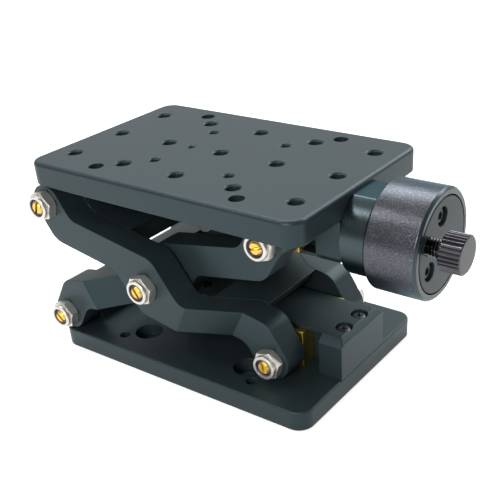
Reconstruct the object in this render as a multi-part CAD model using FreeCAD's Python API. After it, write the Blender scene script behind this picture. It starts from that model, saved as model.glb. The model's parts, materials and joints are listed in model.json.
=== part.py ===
import FreeCAD, Part
import math
import os

# Manual lifting stage: two plates held level by a pair of scissor frames.
# Millimetres. Z is up, X runs along the plates towards the knob, and the origin is the
# centre of the base plate's underside.

# Plates
plate_length = 120.0
plate_width = 80.0
base_thickness = 8.0
base_corner_radius = 6.0
top_thickness = 9.0
top_corner_radius = 6.0
top_edge_radius = 1.5
edge_break = 0.4

# Heights of the working surface above the bench
stage_height = 79.0
lowest_height = 62.0
highest_height = 120.0

# Scissor linkage
pivot_inset = 7.5
hinge_setback = 5.0
arm_thickness = 11.0
arm_inset = 1.4
washer_gap = 1.0

# Arm outline, in the arm's own frame with its two end pivots level
arm_end_radius = 7.2
arm_end_slope = -31.0
arm_centre_slope = -28.0
arm_centre_half_depth = 10.3
limb_depth = 12.0
closing_gap = 0.5
joggle_margin = 17.9
joggle_run = 16.0
inside_corner_radius = 6.0
outside_corner_radius = 8.0
bridge_thickness = 4.5
bridge_margin = 14.4
bridge_width = 17.0
end_block_margin = 7.9
end_block_share = 0.765

# Slides
slide_clearance = 0.1
slider_half_length = 5.6
stop_clearance = 0.3
guide_cover = 0.4
guide_chamfer = 3.0
guide_end_chamfer = 2.0
guide_core_half_width = 7.0
guide_lip = 1.4
guide_end_wall = 8.0
guide_nose = 9.7
nut_window_half_height = 4.5

# Pivot hardware
stud_radius = 3.0
bush_wall = 1.0
running_clearance = 0.03
hex_across_flats = 10.0
hex_height = 3.7
nut_collar_radius = 4.65
nut_collar_height = 1.5
nut_collar_edge = 0.5
nut_chamfer = 0.75
insert_wall = 0.95
insert_length = 1.1
insert_recess = 0.3
stud_slot_width = 1.1
stud_slot_depth = 1.3
slot_turn_lower_left = -46.0
slot_turn_upper_left = 18.0
slot_turn_centre = -32.0
slot_turn_lower_right = -19.0
slot_turn_upper_right = 73.0
thrust_washer_radius = 5.4
stud_head_radius = 5.0
stud_head_height = 2.0
hinge_thread_depth = 12.0
slider_floor = 1.0

# Lead screw and knob
screw_radius = 4.0
screw_bore_clearance = 0.3
lead_nut_wall = 1.0
journal_radius = 3.0
bearing_radius = 8.0
bearing_length = 4.0
bearing_spacing = 0.5
housing_radius = 16.0
housing_length = 9.7
housing_flat = 14.5
housing_lip = 1.0
housing_mouth_step = 1.0
knob_radius = 18.9
knob_length = 19.0
knob_gap = 0.4
knob_edge = 0.8
disc_radius = 16.1
disc_groove = 0.35
disc_thickness = 5.0
face_screw_circle = 20.6
face_screw_count = 3
face_screw_angle = 95.0
face_screw_recess = 1.0
end_nut_across_flats = 11.0
end_nut_length = 3.5
end_nut_pocket_radius = 6.9
end_nut_gap = 1.4
screw_end_gap = 1.0
lock_angle = 160.0
lock_stud_radius = 3.0
lock_stud_clearance = 0.2
lock_stand_off = 5.5
lock_head_radius = 6.5
lock_head_length = 7.4
lock_flutes = 26
lock_flute_depth = 0.35

# Holes that a user bolts to
grid_pitch = 25.0
m6_drill = 5.2
m6_mouth = 6.5
corner_hole_pitch = 63.6
corner_hole = 5.5
m4_pitch = 34.0
m4_drill = 3.5
m4_mouth = 4.7
pilot_hole_x = -14.0
pilot_drill = 2.5
pilot_mouth = 3.6
foot_pitch = 50.0
foot_hole = 6.6
foot_counterbore = 11.0
foot_counterbore_depth = 4.6
foot_thread_drill = 4.2

# Small fasteners
m3_radius = 1.5
m3_head_radius = 2.75
m3_head_height = 1.9
m3_cap_height = 3.0
m3_counterbore_radius = 3.2
screw_grip = 6.0
screw_end_play = 0.5
lower_guide_screw_pitch = 10.8
upper_guide_screw_pitch = 15.6
cross_recess_width = 0.9
cross_recess_length = 3.6
cross_recess_depth = 1.2
m3_key = 2.5
m3_key_depth = 1.4
m4_radius = 2.0
m4_head_radius = 3.5
m4_head_height = 3.6
m4_counterbore_radius = 3.7
m4_socket_radius = 1.5
hinge_screw_recess = 1.0
hinge_screw_wall = 2.9
housing_screw_spread = 11.2
housing_screw_rise = 4.6

# Length by which a cutter passes through the face it opens
overshoot = 1.0

# Places worked out from the sizes above
half_length = plate_length / 2
half_width = plate_width / 2
platform_underside = stage_height - top_thickness
pivot_low = base_thickness + pivot_inset
pivot_high = platform_underside - pivot_inset
fixed_height = base_thickness + top_thickness + 2 * pivot_inset
slot_end_play = slider_half_length + stop_clearance
closed_reach = plate_length - hinge_setback - slot_end_play - guide_nose
arm_span = math.hypot(closed_reach, lowest_height - fixed_height)
arm_angle = math.degrees(math.asin((pivot_high - pivot_low) / arm_span))
closed_angle = math.degrees(math.asin((lowest_height - fixed_height) / arm_span))
raised_angle = math.degrees(math.asin((highest_height - fixed_height) / arm_span))
half_span = arm_span / 2
joggle_far = half_span - joggle_margin
joggle_near = joggle_far - joggle_run
bridge_far = half_span - bridge_margin
bridge_near = bridge_far - bridge_width
left_pivot = -half_length + hinge_setback
right_pivot = left_pivot + arm_span * math.cos(math.radians(arm_angle))
centre_x = (left_pivot + right_pivot) / 2
centre_z = (pivot_low + pivot_high) / 2
slot_end = left_pivot + closed_reach + slot_end_play
slot_start = left_pivot + arm_span * math.cos(math.radians(raised_angle)) - slot_end_play
guide_start = slot_start - guide_end_wall
guide_end = slot_end + guide_nose
end_block_far = half_span - end_block_margin
end_block_near = half_span - end_block_share * (guide_start - left_pivot)
guide_height = 2 * pivot_inset + guide_lip
slider_half_height = pivot_inset - slide_clearance
outer_lane = half_width - arm_inset - arm_thickness
inner_lane = outer_lane - washer_gap - arm_thickness
slider_half_width = inner_lane - washer_gap
guide_half_width = slider_half_width + guide_cover
block_half_width = outer_lane - washer_gap
hinge_stud_end = block_half_width - hinge_thread_depth
hinge_screw_offset = hinge_stud_end - hinge_screw_wall - m4_counterbore_radius
bush_radius = stud_radius + bush_wall
nut_height = hex_height + nut_collar_height
nut_reach = slide_clearance + nut_height
screw_axis = pivot_high
housing_end = half_length + housing_length
knob_start = housing_end + knob_gap
knob_end = knob_start + knob_length
disc_back = knob_end - disc_thickness
end_nut_start = disc_back - end_nut_length - end_nut_gap
screw_tip = disc_back - screw_end_gap
lock_y = face_screw_circle / 2 * math.cos(math.radians(lock_angle))
lock_z = screw_axis + face_screw_circle / 2 * math.sin(math.radians(lock_angle))


def vec(x, y, z):
    return FreeCAD.Vector(x, y, z)


def block(x0, x1, y0, y1, z0, z1):
    return Part.makeBox(x1 - x0, y1 - y0, z1 - z0, vec(x0, y0, z0))


def rod_x(radius, x0, x1, y, z):
    return Part.makeCylinder(radius, x1 - x0, vec(x0, y, z), vec(1, 0, 0))


def rod_y(radius, y0, y1, x, z):
    return Part.makeCylinder(radius, y1 - y0, vec(x, y0, z), vec(0, 1, 0))


def rod_z(radius, z0, z1, x, y):
    return Part.makeCylinder(radius, z1 - z0, vec(x, y, z0), vec(0, 0, 1))


def prism(points, direction):
    wire = Part.makePolygon(points + [points[0]])
    return Part.Face(wire).extrude(direction)


def cut_all(shape, tools):
    return shape.cut(tools) if tools else shape


def mirrored_y(shape):
    return shape.mirror(vec(0, 0, 0), vec(0, 1, 0))


def both_sides(shape):
    return Part.makeCompound([shape, mirrored_y(shape)])


def to_upper_side(shape):
    """Turn a piece seated on the base plate over, onto the underside of the top plate."""
    middle = (base_thickness + platform_underside) / 2
    return shape.mirror(vec(0, 0, middle), vec(0, 0, 1))


def hexagon_x(across_flats, x0, x1, y, z):
    corner = across_flats / math.sqrt(3)
    points = []
    for step in range(6):
        turn = math.radians(60 * step + 30)
        points.append(vec(x0, y + corner * math.cos(turn), z + corner * math.sin(turn)))
    return prism(points, vec(x1 - x0, 0, 0))


def plate(z0, thickness, corner_radius):
    shape = block(-half_length, half_length, -half_width, half_width, z0, z0 + thickness)
    uprights = [e for e in shape.Edges if abs(e.tangentAt(e.FirstParameter).z) > 0.99]
    return shape.makeFillet(corner_radius, uprights)


def rim_edges(shape, z):
    return [e for e in shape.Edges if all(abs(v.Point.z - z) < 1e-6 for v in e.Vertexes)]


def mouthed_hole(drill, mouth, x, y, z_top, depth):
    """A tapped hole, at its drill size, with the countersunk mouth of the thread."""
    lead_in = (mouth - drill) / 2
    hole = rod_z(drill / 2, z_top - depth - overshoot, z_top + overshoot, x, y)
    cone = Part.makeCone(drill / 2, mouth / 2 + lead_in, 2 * lead_in, vec(x, y, z_top - lead_in))
    return hole.fuse(cone)


def square_pattern(pitch):
    half = pitch / 2
    return [(sx * half, sy * half) for sx in (-1, 1) for sy in (-1, 1)]


def guide_screw_places(pitch):
    rows = ((slot_end + guide_end) / 2, (guide_start + slot_start) / 2)
    return [(x, side * pitch / 2) for x in rows for side in (-1, 1)]


def hinge_screw_places():
    return [(left_pivot, side * hinge_screw_offset) for side in (-1, 1)]


def base_plate():
    shape = plate(0, base_thickness, base_corner_radius)
    shape = shape.makeChamfer(edge_break, rim_edges(shape, base_thickness) + rim_edges(shape, 0))
    holes = []
    for x, y in square_pattern(foot_pitch):
        holes.append(rod_z(foot_hole / 2, -overshoot, base_thickness + overshoot, x, y))
        floor = base_thickness - foot_counterbore_depth
        holes.append(rod_z(foot_counterbore / 2, floor, base_thickness + overshoot, x, y))
    for x, y in square_pattern(corner_hole_pitch):
        holes.append(rod_z(foot_thread_drill / 2, -overshoot, base_thickness + overshoot, x, y))
    for x, y in guide_screw_places(lower_guide_screw_pitch):
        holes.append(rod_z(m3_radius, base_thickness - screw_grip, base_thickness + overshoot, x, y))
    for x, y in hinge_screw_places():
        holes.append(rod_z(m4_radius, base_thickness - screw_grip, base_thickness + overshoot, x, y))
    return cut_all(shape, holes)


def top_plate():
    shape = plate(platform_underside, top_thickness, top_corner_radius)
    shape = shape.makeFillet(top_edge_radius, rim_edges(shape, stage_height))
    shape = shape.makeChamfer(edge_break, rim_edges(shape, platform_underside))
    holes = []
    for column in range(-2, 3):
        for row in range(-1, 2):
            place = (column * grid_pitch, row * grid_pitch)
            holes.append(mouthed_hole(m6_drill, m6_mouth, *place, stage_height, top_thickness))
    for x, y in square_pattern(m4_pitch):
        holes.append(mouthed_hole(m4_drill, m4_mouth, x, y, stage_height, top_thickness))
    for x, y in square_pattern(corner_hole_pitch):
        holes.append(rod_z(corner_hole / 2, platform_underside - overshoot, stage_height + overshoot, x, y))
    holes.append(mouthed_hole(pilot_drill, pilot_mouth, pilot_hole_x, 0, stage_height, top_thickness))
    tap_start = platform_underside - overshoot
    tap_end = platform_underside + screw_grip
    for x, y in guide_screw_places(upper_guide_screw_pitch):
        holes.append(rod_z(m3_radius, tap_start, tap_end, x, y))
    for x, y in hinge_screw_places():
        holes.append(rod_z(m4_radius, tap_start, tap_end, x, y))
    return cut_all(shape, holes)


def guide_blank(screw_pitch):
    """Slideway block on the base plate: a slot down each side, closed by a wall at both ends."""
    floor = base_thickness
    roof = floor + guide_height
    shoulder = guide_half_width - guide_chamfer
    section = [
        vec(guide_start, -guide_half_width, floor),
        vec(guide_start, guide_half_width, floor),
        vec(guide_start, guide_half_width, roof - guide_chamfer),
        vec(guide_start, shoulder, roof),
        vec(guide_start, -shoulder, roof),
        vec(guide_start, -guide_half_width, roof - guide_chamfer),
    ]
    shape = prism(section, vec(guide_end - guide_start, 0, 0))
    tools = []
    slot_top = floor + 2 * pivot_inset
    for side in (-1, 1):
        near, far = sorted((side * guide_core_half_width, side * (guide_half_width + overshoot)))
        tools.append(block(slot_start, slot_end, near, far, floor - overshoot, slot_top))
        near, far = sorted((side * shoulder, side * (guide_half_width + overshoot)))
        tools.append(block(slot_start, slot_end, near, far, floor - overshoot, roof + overshoot))
    end_edge = [
        vec(guide_end - guide_end_chamfer, -half_width, roof),
        vec(guide_end + overshoot, -half_width, roof),
        vec(guide_end + overshoot, -half_width, roof - guide_end_chamfer - overshoot),
    ]
    tools.append(prism(end_edge, vec(0, plate_width, 0)))
    head_seat = m3_head_height + cross_recess_depth / 2
    for x, y in guide_screw_places(screw_pitch):
        tools.append(rod_z(m3_radius, floor - overshoot, roof + overshoot, x, y))
        tools.append(rod_z(m3_counterbore_radius, roof - head_seat, roof + overshoot, x, y))
    return cut_all(shape, tools)


def lower_guide():
    return guide_blank(lower_guide_screw_pitch)


def upper_guide():
    shape = to_upper_side(guide_blank(upper_guide_screw_pitch))
    bore = screw_radius + screw_bore_clearance
    tunnel = rod_x(bore, slot_start, guide_end + overshoot, 0, screw_axis)
    journal = rod_x(journal_radius + running_clearance, guide_start - overshoot, slot_start + overshoot,
                    0, screw_axis)
    window = block(slot_start, slot_end, -guide_half_width, guide_half_width,
                   screw_axis - nut_window_half_height, screw_axis + nut_window_half_height)
    taps = []
    for y, z in housing_screw_places():
        taps.append(rod_x(m3_radius, guide_end - screw_grip, guide_end + overshoot, y, z))
    return cut_all(shape, [tunnel, journal, window] + taps)


def cross_recess_screw(x, y, z_top, z_tip):
    seat = z_top - m3_head_height
    shape = rod_z(m3_head_radius, seat, z_top, x, y).fuse(rod_z(m3_radius, z_tip, seat, x, y))
    reach = cross_recess_length / 2
    wing = cross_recess_width / 2
    recess_floor = z_top - cross_recess_depth
    slots = [
        block(x - reach, x + reach, y - wing, y + wing, recess_floor, z_top + overshoot),
        block(x - wing, x + wing, y - reach, y + reach, recess_floor, z_top + overshoot),
    ]
    return cut_all(shape, slots)


def guide_screws(pitch):
    head_top = base_thickness + guide_height - cross_recess_depth / 2
    tip = base_thickness - screw_grip + screw_end_play
    screws = [cross_recess_screw(x, y, head_top, tip) for x, y in guide_screw_places(pitch)]
    return Part.makeCompound(screws)


def hinge_block():
    """Fixed bearing block on the base plate, with a rounded back over the pivot line."""
    radius = hinge_setback
    body = block(left_pivot - radius, left_pivot + radius, -block_half_width, block_half_width,
                 base_thickness, pivot_low)
    crown = rod_y(radius, -block_half_width, block_half_width, left_pivot, pivot_low)
    shape = body.fuse(crown).removeSplitter()
    crest = pivot_low + radius
    tools = []
    for side in (-1, 1):
        near, far = sorted((side * hinge_stud_end, side * (block_half_width + overshoot)))
        tools.append(rod_y(stud_radius, near, far, left_pivot, pivot_low))
    for x, y in hinge_screw_places():
        tools.append(rod_z(m4_radius, base_thickness - overshoot, crest + overshoot, x, y))
        seat = crest - m4_head_height - hinge_screw_recess
        tools.append(rod_z(m4_counterbore_radius, seat, crest + overshoot, x, y))
    return cut_all(shape, tools)


def hinge_screws():
    crest = pivot_low + hinge_setback
    seat = crest - m4_head_height - hinge_screw_recess
    screws = []
    for x, y in hinge_screw_places():
        head = rod_z(m4_head_radius, seat, seat + m4_head_height, x, y)
        shank = rod_z(m4_radius, base_thickness - screw_grip + screw_end_play, seat, x, y)
        socket = rod_z(m4_socket_radius, seat + m4_head_height / 2, seat + m4_head_height + overshoot, x, y)
        screws.append(head.fuse(shank).cut(socket))
    return Part.makeCompound(screws)


def direction(slope):
    turn = math.radians(slope)
    return (math.cos(turn), math.sin(turn))


def edge_line(slope, offset, through=(0.0, 0.0)):
    """A straight edge at a slope, lying offset to the left of a point."""
    along = direction(slope)
    normal = (-along[1], along[0])
    return normal, offset + normal[0] * through[0] + normal[1] * through[1]


def crossing(first, second):
    (a, b), c = first
    (d, e), f = second
    det = a * e - b * d
    return ((c * e - b * f) / det, (a * f - c * d) / det)


def arm_corners():
    """Upper edge of the arm from the left end to the right one, as corner and radius."""
    end_left = edge_line(arm_end_slope, arm_end_radius, (-half_span, 0))
    limb_left = edge_line(closed_angle, closing_gap + limb_depth)
    centre = edge_line(arm_centre_slope, arm_centre_half_depth)
    limb_right = edge_line(closed_angle, -closing_gap)
    end_right = edge_line(arm_end_slope, arm_end_radius, (half_span, 0))
    along = direction(arm_end_slope)
    lift = (-along[1] * arm_end_radius, along[0] * arm_end_radius)
    return [
        ((-half_span + lift[0], lift[1]), 0),
        (crossing(end_left, limb_left), inside_corner_radius),
        (crossing(limb_left, centre), outside_corner_radius),
        (crossing(centre, limb_right), inside_corner_radius),
        (crossing(limb_right, end_right), outside_corner_radius),
        ((half_span + lift[0], lift[1]), 0),
    ]


def rounded_corner(before, corner, after, radius):
    """Tangent points and middle of the arc that rounds one corner of an outline."""
    back = (before - corner).normalize()
    ahead = (after - corner).normalize()
    half_turn = (math.pi - back.getAngle(ahead)) / 2
    reach = radius * math.tan(half_turn)
    bisector = (back + ahead).normalize()
    middle = corner + bisector * (radius / math.cos(half_turn) - radius)
    return corner + back * reach, middle, corner + ahead * reach


def chain_edges(corners):
    points = [vec(u, 0, w) for (u, w), _ in corners]
    edges = []
    last = points[0]
    for index in range(1, len(points) - 1):
        start, middle, end = rounded_corner(points[index - 1], points[index], points[index + 1],
                                            corners[index][1])
        edges.append(Part.LineSegment(last, start).toShape())
        edges.append(Part.Arc(start, middle, end).toShape())
        last = end
    edges.append(Part.LineSegment(last, points[-1]).toShape())
    return edges


def arm_outline():
    """Closed outline of an arm: the same S-shaped edge above and, turned half round, below."""
    upper = arm_corners()
    lower = [((-u, -w), radius) for (u, w), radius in upper]
    along = direction(arm_end_slope)
    tip_u = half_span + along[0] * arm_end_radius
    tip_w = along[1] * arm_end_radius

    def nose(*places):
        return Part.Arc(*[vec(u, 0, w) for u, w in places]).toShape()

    edges = chain_edges(upper)
    edges.append(nose(upper[-1][0], (tip_u, tip_w), lower[0][0]))
    edges += chain_edges(lower)
    edges.append(nose(lower[-1][0], (-tip_u, -tip_w), upper[0][0]))
    return Part.Wire(edges)


def lane_offset(u, joggle):
    """Distance of the arm's inner face from the middle plane, at u along the arm."""
    start, end = joggle
    share = min(max((u - start) / (end - start), 0.0), 1.0)
    return outer_lane + (inner_lane - outer_lane) * share


def arm_band(joggle):
    """The arm seen from above: it runs in the outer lane, then joggles into the inner one."""
    reach = arm_span
    stations = (-reach, joggle[0], joggle[1], reach)
    inner_face = [vec(u, -lane_offset(u, joggle), -reach) for u in stations]
    outer_face = [vec(u, -lane_offset(u, joggle) - arm_thickness, -reach) for u in reversed(stations)]
    return prism(inner_face + outer_face, vec(0, 0, 2 * reach))


def place_on_arm(shape, slope):
    shape = shape.copy()
    shape.rotate(vec(0, 0, 0), vec(0, -1, 0), slope)
    shape.translate(vec(centre_x, 0, centre_z))
    return shape


def front_arm(joggle, falling, bores):
    """One arm at the front, with its bores given as place along the arm and radius."""
    depth = outer_lane + arm_thickness
    slab = Part.Face(arm_outline()).extrude(vec(0, -depth - overshoot, 0))
    shape = slab.common(arm_band(joggle))
    if not falling:
        shape = shape.mirror(vec(0, 0, 0), vec(0, 0, 1))
    for u, radius in bores:
        shape = shape.cut(rod_y(radius, -depth - overshoot, 0, u, 0))
    return place_on_arm(shape, -arm_angle if falling else arm_angle)


def outer_joggle():
    return (joggle_near, joggle_far)


def inner_joggle():
    return (-joggle_far, -joggle_near)


def outer_arm():
    bores = [(-half_span, bush_radius), (0, bush_radius), (half_span, bush_radius)]
    return front_arm(outer_joggle(), True, bores)


def inner_arm():
    bores = [(-half_span, bush_radius), (0, stud_radius), (half_span, bush_radius)]
    return front_arm(inner_joggle(), False, bores)


def bridge(joggle, falling, side):
    """Cross plate that ties a pair of arms, flush with the edge that faces the middle."""
    near, far = sorted((side * bridge_near, side * bridge_far))
    stations = [near] + [u for u in joggle if near < u < far] + [far]
    front = [vec(u, -lane_offset(u, joggle), -arm_span) for u in stations]
    rear = [vec(u, lane_offset(u, joggle), -arm_span) for u in reversed(stations)]
    column = prism(front + rear, vec(0, 0, 2 * arm_span))
    face = -side * closing_gap
    lower, upper = sorted((face, face - side * bridge_thickness))
    slab = block(-arm_span, arm_span, -half_width, half_width, lower, upper)
    slab.rotate(vec(0, 0, 0), vec(0, -1, 0), closed_angle)
    shape = column.common(slab)
    if not falling:
        shape = shape.mirror(vec(0, 0, 0), vec(0, 0, 1))
    return place_on_arm(shape, -arm_angle if falling else arm_angle)


def outer_left_bridge():
    """Cross plate of the outer arms' left limbs, as deep as the arms between the hinge and the slideway."""
    between = Part.Face(arm_outline()).extrude(vec(0, 2 * outer_lane, 0))
    between.translate(vec(0, -outer_lane, 0))
    window = block(-end_block_far, -end_block_near, -outer_lane, outer_lane, -arm_span, arm_span)
    deep = place_on_arm(between.common(window), -arm_angle)
    return bridge(outer_joggle(), True, -1).fuse(deep).removeSplitter()


def bush(x, z, inner_face):
    outside = rod_y(bush_radius, -inner_face - arm_thickness, -inner_face, x, z)
    bore = rod_y(stud_radius + running_clearance, -inner_face - arm_thickness - overshoot, 0, x, z)
    return outside.cut(bore)


def bushes(places):
    fronts = [bush(x, z, lane) for x, z, lane in places]
    return Part.makeCompound(fronts + [mirrored_y(ring) for ring in fronts])


def outer_bushes():
    return bushes([
        (left_pivot, pivot_high, outer_lane),
        (centre_x, centre_z, outer_lane),
        (right_pivot, pivot_low, inner_lane),
    ])


def inner_bushes():
    return bushes([(left_pivot, pivot_low, outer_lane), (right_pivot, pivot_high, inner_lane)])


def pivot_nuts(x, z, lane):
    """Self-locking nuts outside a pair of arms: a hexagon, then a round collar."""
    seat = -(lane + arm_thickness + slide_clearance)
    corner = hex_across_flats / math.sqrt(3)
    points = []
    for step in range(6):
        turn = math.radians(60 * step)
        points.append(vec(x + corner * math.cos(turn), seat, z + corner * math.sin(turn)))
    hexagon = prism(points, vec(0, -hex_height, 0))
    crown = Part.makeCone(corner + hex_height, corner - nut_chamfer, hex_height + nut_chamfer,
                          vec(x, seat, z), vec(0, -1, 0))
    end = seat - nut_height
    collar = rod_y(nut_collar_radius, end, seat - hex_height, x, z)
    rim = [e for e in collar.Edges if abs(e.CenterOfMass.y - end) < 1e-6]
    shape = hexagon.common(crown).fuse(collar.makeFillet(nut_collar_edge, rim))
    bore = rod_y(stud_radius, end - overshoot, seat + overshoot, x, z)
    pocket = rod_y(stud_radius + insert_wall, end - overshoot, end + insert_length + insert_recess, x, z)
    return both_sides(cut_all(shape, [bore, pocket]))


def nut_inserts(x, z, lane):
    outer_end = -(lane + arm_thickness + nut_reach) + insert_recess
    ring = rod_y(stud_radius + insert_wall, outer_end, outer_end + insert_length, x, z)
    bore = rod_y(stud_radius, outer_end - overshoot, outer_end + insert_length + overshoot, x, z)
    return both_sides(ring.cut(bore))


def pivot_stud(x, z, lane, inner_end, slot_turn):
    outer_end = -(lane + arm_thickness + nut_reach)
    shape = rod_y(stud_radius, outer_end, -inner_end, x, z)
    rim = [e for e in shape.Edges if abs(e.CenterOfMass.y - outer_end) < 1e-6]
    shape = shape.makeChamfer(edge_break, rim)
    slot = block(x - stud_slot_width / 2, x + stud_slot_width / 2, outer_end - overshoot,
                 outer_end + stud_slot_depth, z - stud_radius - overshoot, z + stud_radius + overshoot)
    slot.rotate(vec(x, 0, z), vec(0, 1, 0), slot_turn)
    return shape.cut(slot)


def pivot_studs(x, z, lane, inner_end, slot_turn):
    return both_sides(pivot_stud(x, z, lane, inner_end, slot_turn))


def centre_studs():
    shank = pivot_stud(centre_x, centre_z, outer_lane, inner_lane, slot_turn_centre)
    head = rod_y(stud_head_radius, -inner_lane, -inner_lane + stud_head_height, centre_x, centre_z)
    return both_sides(shank.fuse(head))


def thrust_washers(x, z, lane):
    slack = slide_clearance / 2
    ring = rod_y(thrust_washer_radius, -lane + slack, -lane + washer_gap - slack, x, z)
    bore = rod_y(stud_radius + running_clearance, -lane - overshoot, 0, x, z)
    return both_sides(ring.cut(bore))


def slider(z):
    """Bearing block in the front slot of a guide, with the thread for its pivot stud."""
    inner_face = guide_core_half_width + slide_clearance
    shape = block(right_pivot - slider_half_length, right_pivot + slider_half_length,
                  -slider_half_width, -inner_face, z - slider_half_height, z + slider_half_height)
    thread = rod_y(stud_radius, -slider_half_width - overshoot, -inner_face + overshoot, right_pivot, z)
    return shape.cut(thread)


def slider_stud_end():
    return guide_core_half_width + slide_clearance + slider_floor


def lower_slider():
    stopped = block(right_pivot - slider_half_length, right_pivot + slider_half_length,
                    -slider_stud_end(), -guide_core_half_width - slide_clearance,
                    pivot_low - slider_half_height, pivot_low + slider_half_height)
    return slider(pivot_low).fuse(stopped).removeSplitter()


def lead_nut():
    """Threaded cross piece that the lead screw drives between the two upper sliders."""
    half_y = guide_core_half_width + slide_clearance
    half_z = nut_window_half_height - slide_clearance
    shape = block(right_pivot - slider_half_length, right_pivot + slider_half_length,
                  -half_y, half_y, screw_axis - half_z, screw_axis + half_z)
    thread = rod_x(screw_radius + running_clearance, right_pivot - slider_half_length - overshoot,
                   right_pivot + slider_half_length + overshoot, 0, screw_axis)
    taps = []
    for side in (-1, 1):
        near, far = sorted((side * nut_stud_end(), side * (half_y + overshoot)))
        taps.append(rod_y(stud_radius, near, far, right_pivot, screw_axis))
    return cut_all(shape, [thread] + taps)


def nut_stud_end():
    return screw_radius + screw_bore_clearance + lead_nut_wall


def lead_screw():
    journal = rod_x(journal_radius, guide_start, slot_start, 0, screw_axis)
    thread = rod_x(screw_radius, slot_start, screw_tip, 0, screw_axis)
    shape = journal.fuse(thread)
    tip = [e for e in shape.Edges if abs(e.CenterOfMass.x - screw_tip) < 1e-6]
    return shape.makeChamfer(edge_break, tip)


def housing_screw_places():
    rises = (-housing_screw_rise, housing_screw_rise)
    return [(side * housing_screw_spread, screw_axis + rise) for side in (-1, 1) for rise in rises]


def bearing_housing():
    shape = rod_x(housing_radius, half_length, housing_end, 0, screw_axis)
    flat = block(half_length - overshoot, housing_end + overshoot, -housing_radius, housing_radius,
                 screw_axis + housing_flat, screw_axis + housing_radius + overshoot)
    seat = rod_x(bearing_radius, half_length - overshoot, housing_end - housing_lip, 0, screw_axis)
    mouth = rod_x(bearing_radius - housing_mouth_step, half_length, housing_end + overshoot, 0, screw_axis)
    tools = [flat, seat, mouth]
    head_seat = housing_end - m3_cap_height - slide_clearance
    for y, z in housing_screw_places():
        tools.append(rod_x(m3_radius, half_length - overshoot, housing_end + overshoot, y, z))
        tools.append(rod_x(m3_counterbore_radius, head_seat, housing_end + overshoot, y, z))
    return cut_all(shape, tools)


def cap_screw_x(y, z, x_seat, x_tip):
    """Socket head screw along X, its head standing out from the seat."""
    head = rod_x(m3_head_radius, x_seat, x_seat + m3_cap_height, y, z)
    shank = rod_x(m3_radius, x_tip, x_seat, y, z)
    key = hexagon_x(m3_key, x_seat + m3_cap_height - m3_key_depth, x_seat + m3_cap_height + overshoot, y, z)
    return head.fuse(shank).cut(key)


def housing_screws():
    seat = housing_end - m3_cap_height - slide_clearance
    tip = guide_end - screw_grip + screw_end_play
    return Part.makeCompound([cap_screw_x(y, z, seat, tip) for y, z in housing_screw_places()])


def screw_bearings():
    rings = []
    for index in range(2):
        start = half_length + index * (bearing_length + bearing_spacing)
        end = start + bearing_length
        ring = rod_x(bearing_radius, start, end, 0, screw_axis)
        bore = rod_x(screw_radius + running_clearance, start - overshoot, end + overshoot, 0, screw_axis)
        rings.append(ring.cut(bore))
    return Part.makeCompound(rings)


def face_screw_places():
    places = []
    for step in range(face_screw_count):
        turn = math.radians(face_screw_angle + 360 * step / face_screw_count)
        radius = face_screw_circle / 2
        places.append((radius * math.cos(turn), screw_axis + radius * math.sin(turn)))
    return places


def knob_body():
    shape = rod_x(knob_radius, knob_start, knob_end, 0, screw_axis)
    rims = [e for e in shape.Edges if abs(e.CenterOfMass.x - knob_start) < 1e-6
            or abs(e.CenterOfMass.x - knob_end) < 1e-6]
    shape = shape.makeChamfer(knob_edge, rims)
    tools = [
        rod_x(screw_radius, knob_start - overshoot, knob_end, 0, screw_axis),
        rod_x(disc_radius + disc_groove, disc_back, knob_end + overshoot, 0, screw_axis),
        rod_x(end_nut_pocket_radius, end_nut_start, knob_end, 0, screw_axis),
        rod_x(lock_stud_radius + lock_stud_clearance, knob_start - overshoot, knob_end, lock_y, lock_z),
    ]
    for y, z in face_screw_places():
        tools.append(rod_x(m3_radius, disc_back - screw_grip, disc_back + overshoot, y, z))
    return cut_all(shape, tools)


def face_screw_seat():
    return knob_end - m3_cap_height - face_screw_recess


def knob_disc():
    shape = rod_x(disc_radius, disc_back, knob_end, 0, screw_axis)
    behind, beyond = disc_back - overshoot, knob_end + overshoot
    tools = [rod_x(lock_stud_radius + running_clearance, behind, beyond, lock_y, lock_z)]
    for y, z in face_screw_places():
        tools.append(rod_x(m3_radius, behind, beyond, y, z))
        tools.append(rod_x(m3_counterbore_radius, face_screw_seat(), knob_end + overshoot, y, z))
    return cut_all(shape, tools)


def disc_screws():
    tip = disc_back - screw_grip + screw_end_play
    return Part.makeCompound([cap_screw_x(y, z, face_screw_seat(), tip) for y, z in face_screw_places()])


def end_nut():
    shape = hexagon_x(end_nut_across_flats, end_nut_start, end_nut_start + end_nut_length, 0, screw_axis)
    return shape.cut(rod_x(screw_radius, end_nut_start - overshoot, knob_end, 0, screw_axis))


def fluted_head(x0, x1):
    """Thumb screw head with straight flutes round its rim."""
    points = []
    for step in range(2 * lock_flutes):
        turn = math.radians(180 * step / lock_flutes)
        radius = lock_head_radius - (step % 2) * lock_flute_depth
        points.append(vec(x0, lock_y + radius * math.cos(turn), lock_z + radius * math.sin(turn)))
    shape = prism(points, vec(x1 - x0, 0, 0))
    bevel = lock_flute_depth * 2
    nose = rod_x(lock_head_radius, x0, x1, lock_y, lock_z)
    rims = [e for e in nose.Edges if abs(e.CenterOfMass.x - x0) < 1e-6 or abs(e.CenterOfMass.x - x1) < 1e-6]
    return shape.common(nose.makeChamfer(bevel, rims))


def lock_screw():
    head_start = knob_end + lock_stand_off
    head = fluted_head(head_start, head_start + lock_head_length)
    stud = rod_x(lock_stud_radius, housing_end + 2 * knob_gap, head_start + overshoot, lock_y, lock_z)
    return head.fuse(stud)


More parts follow.
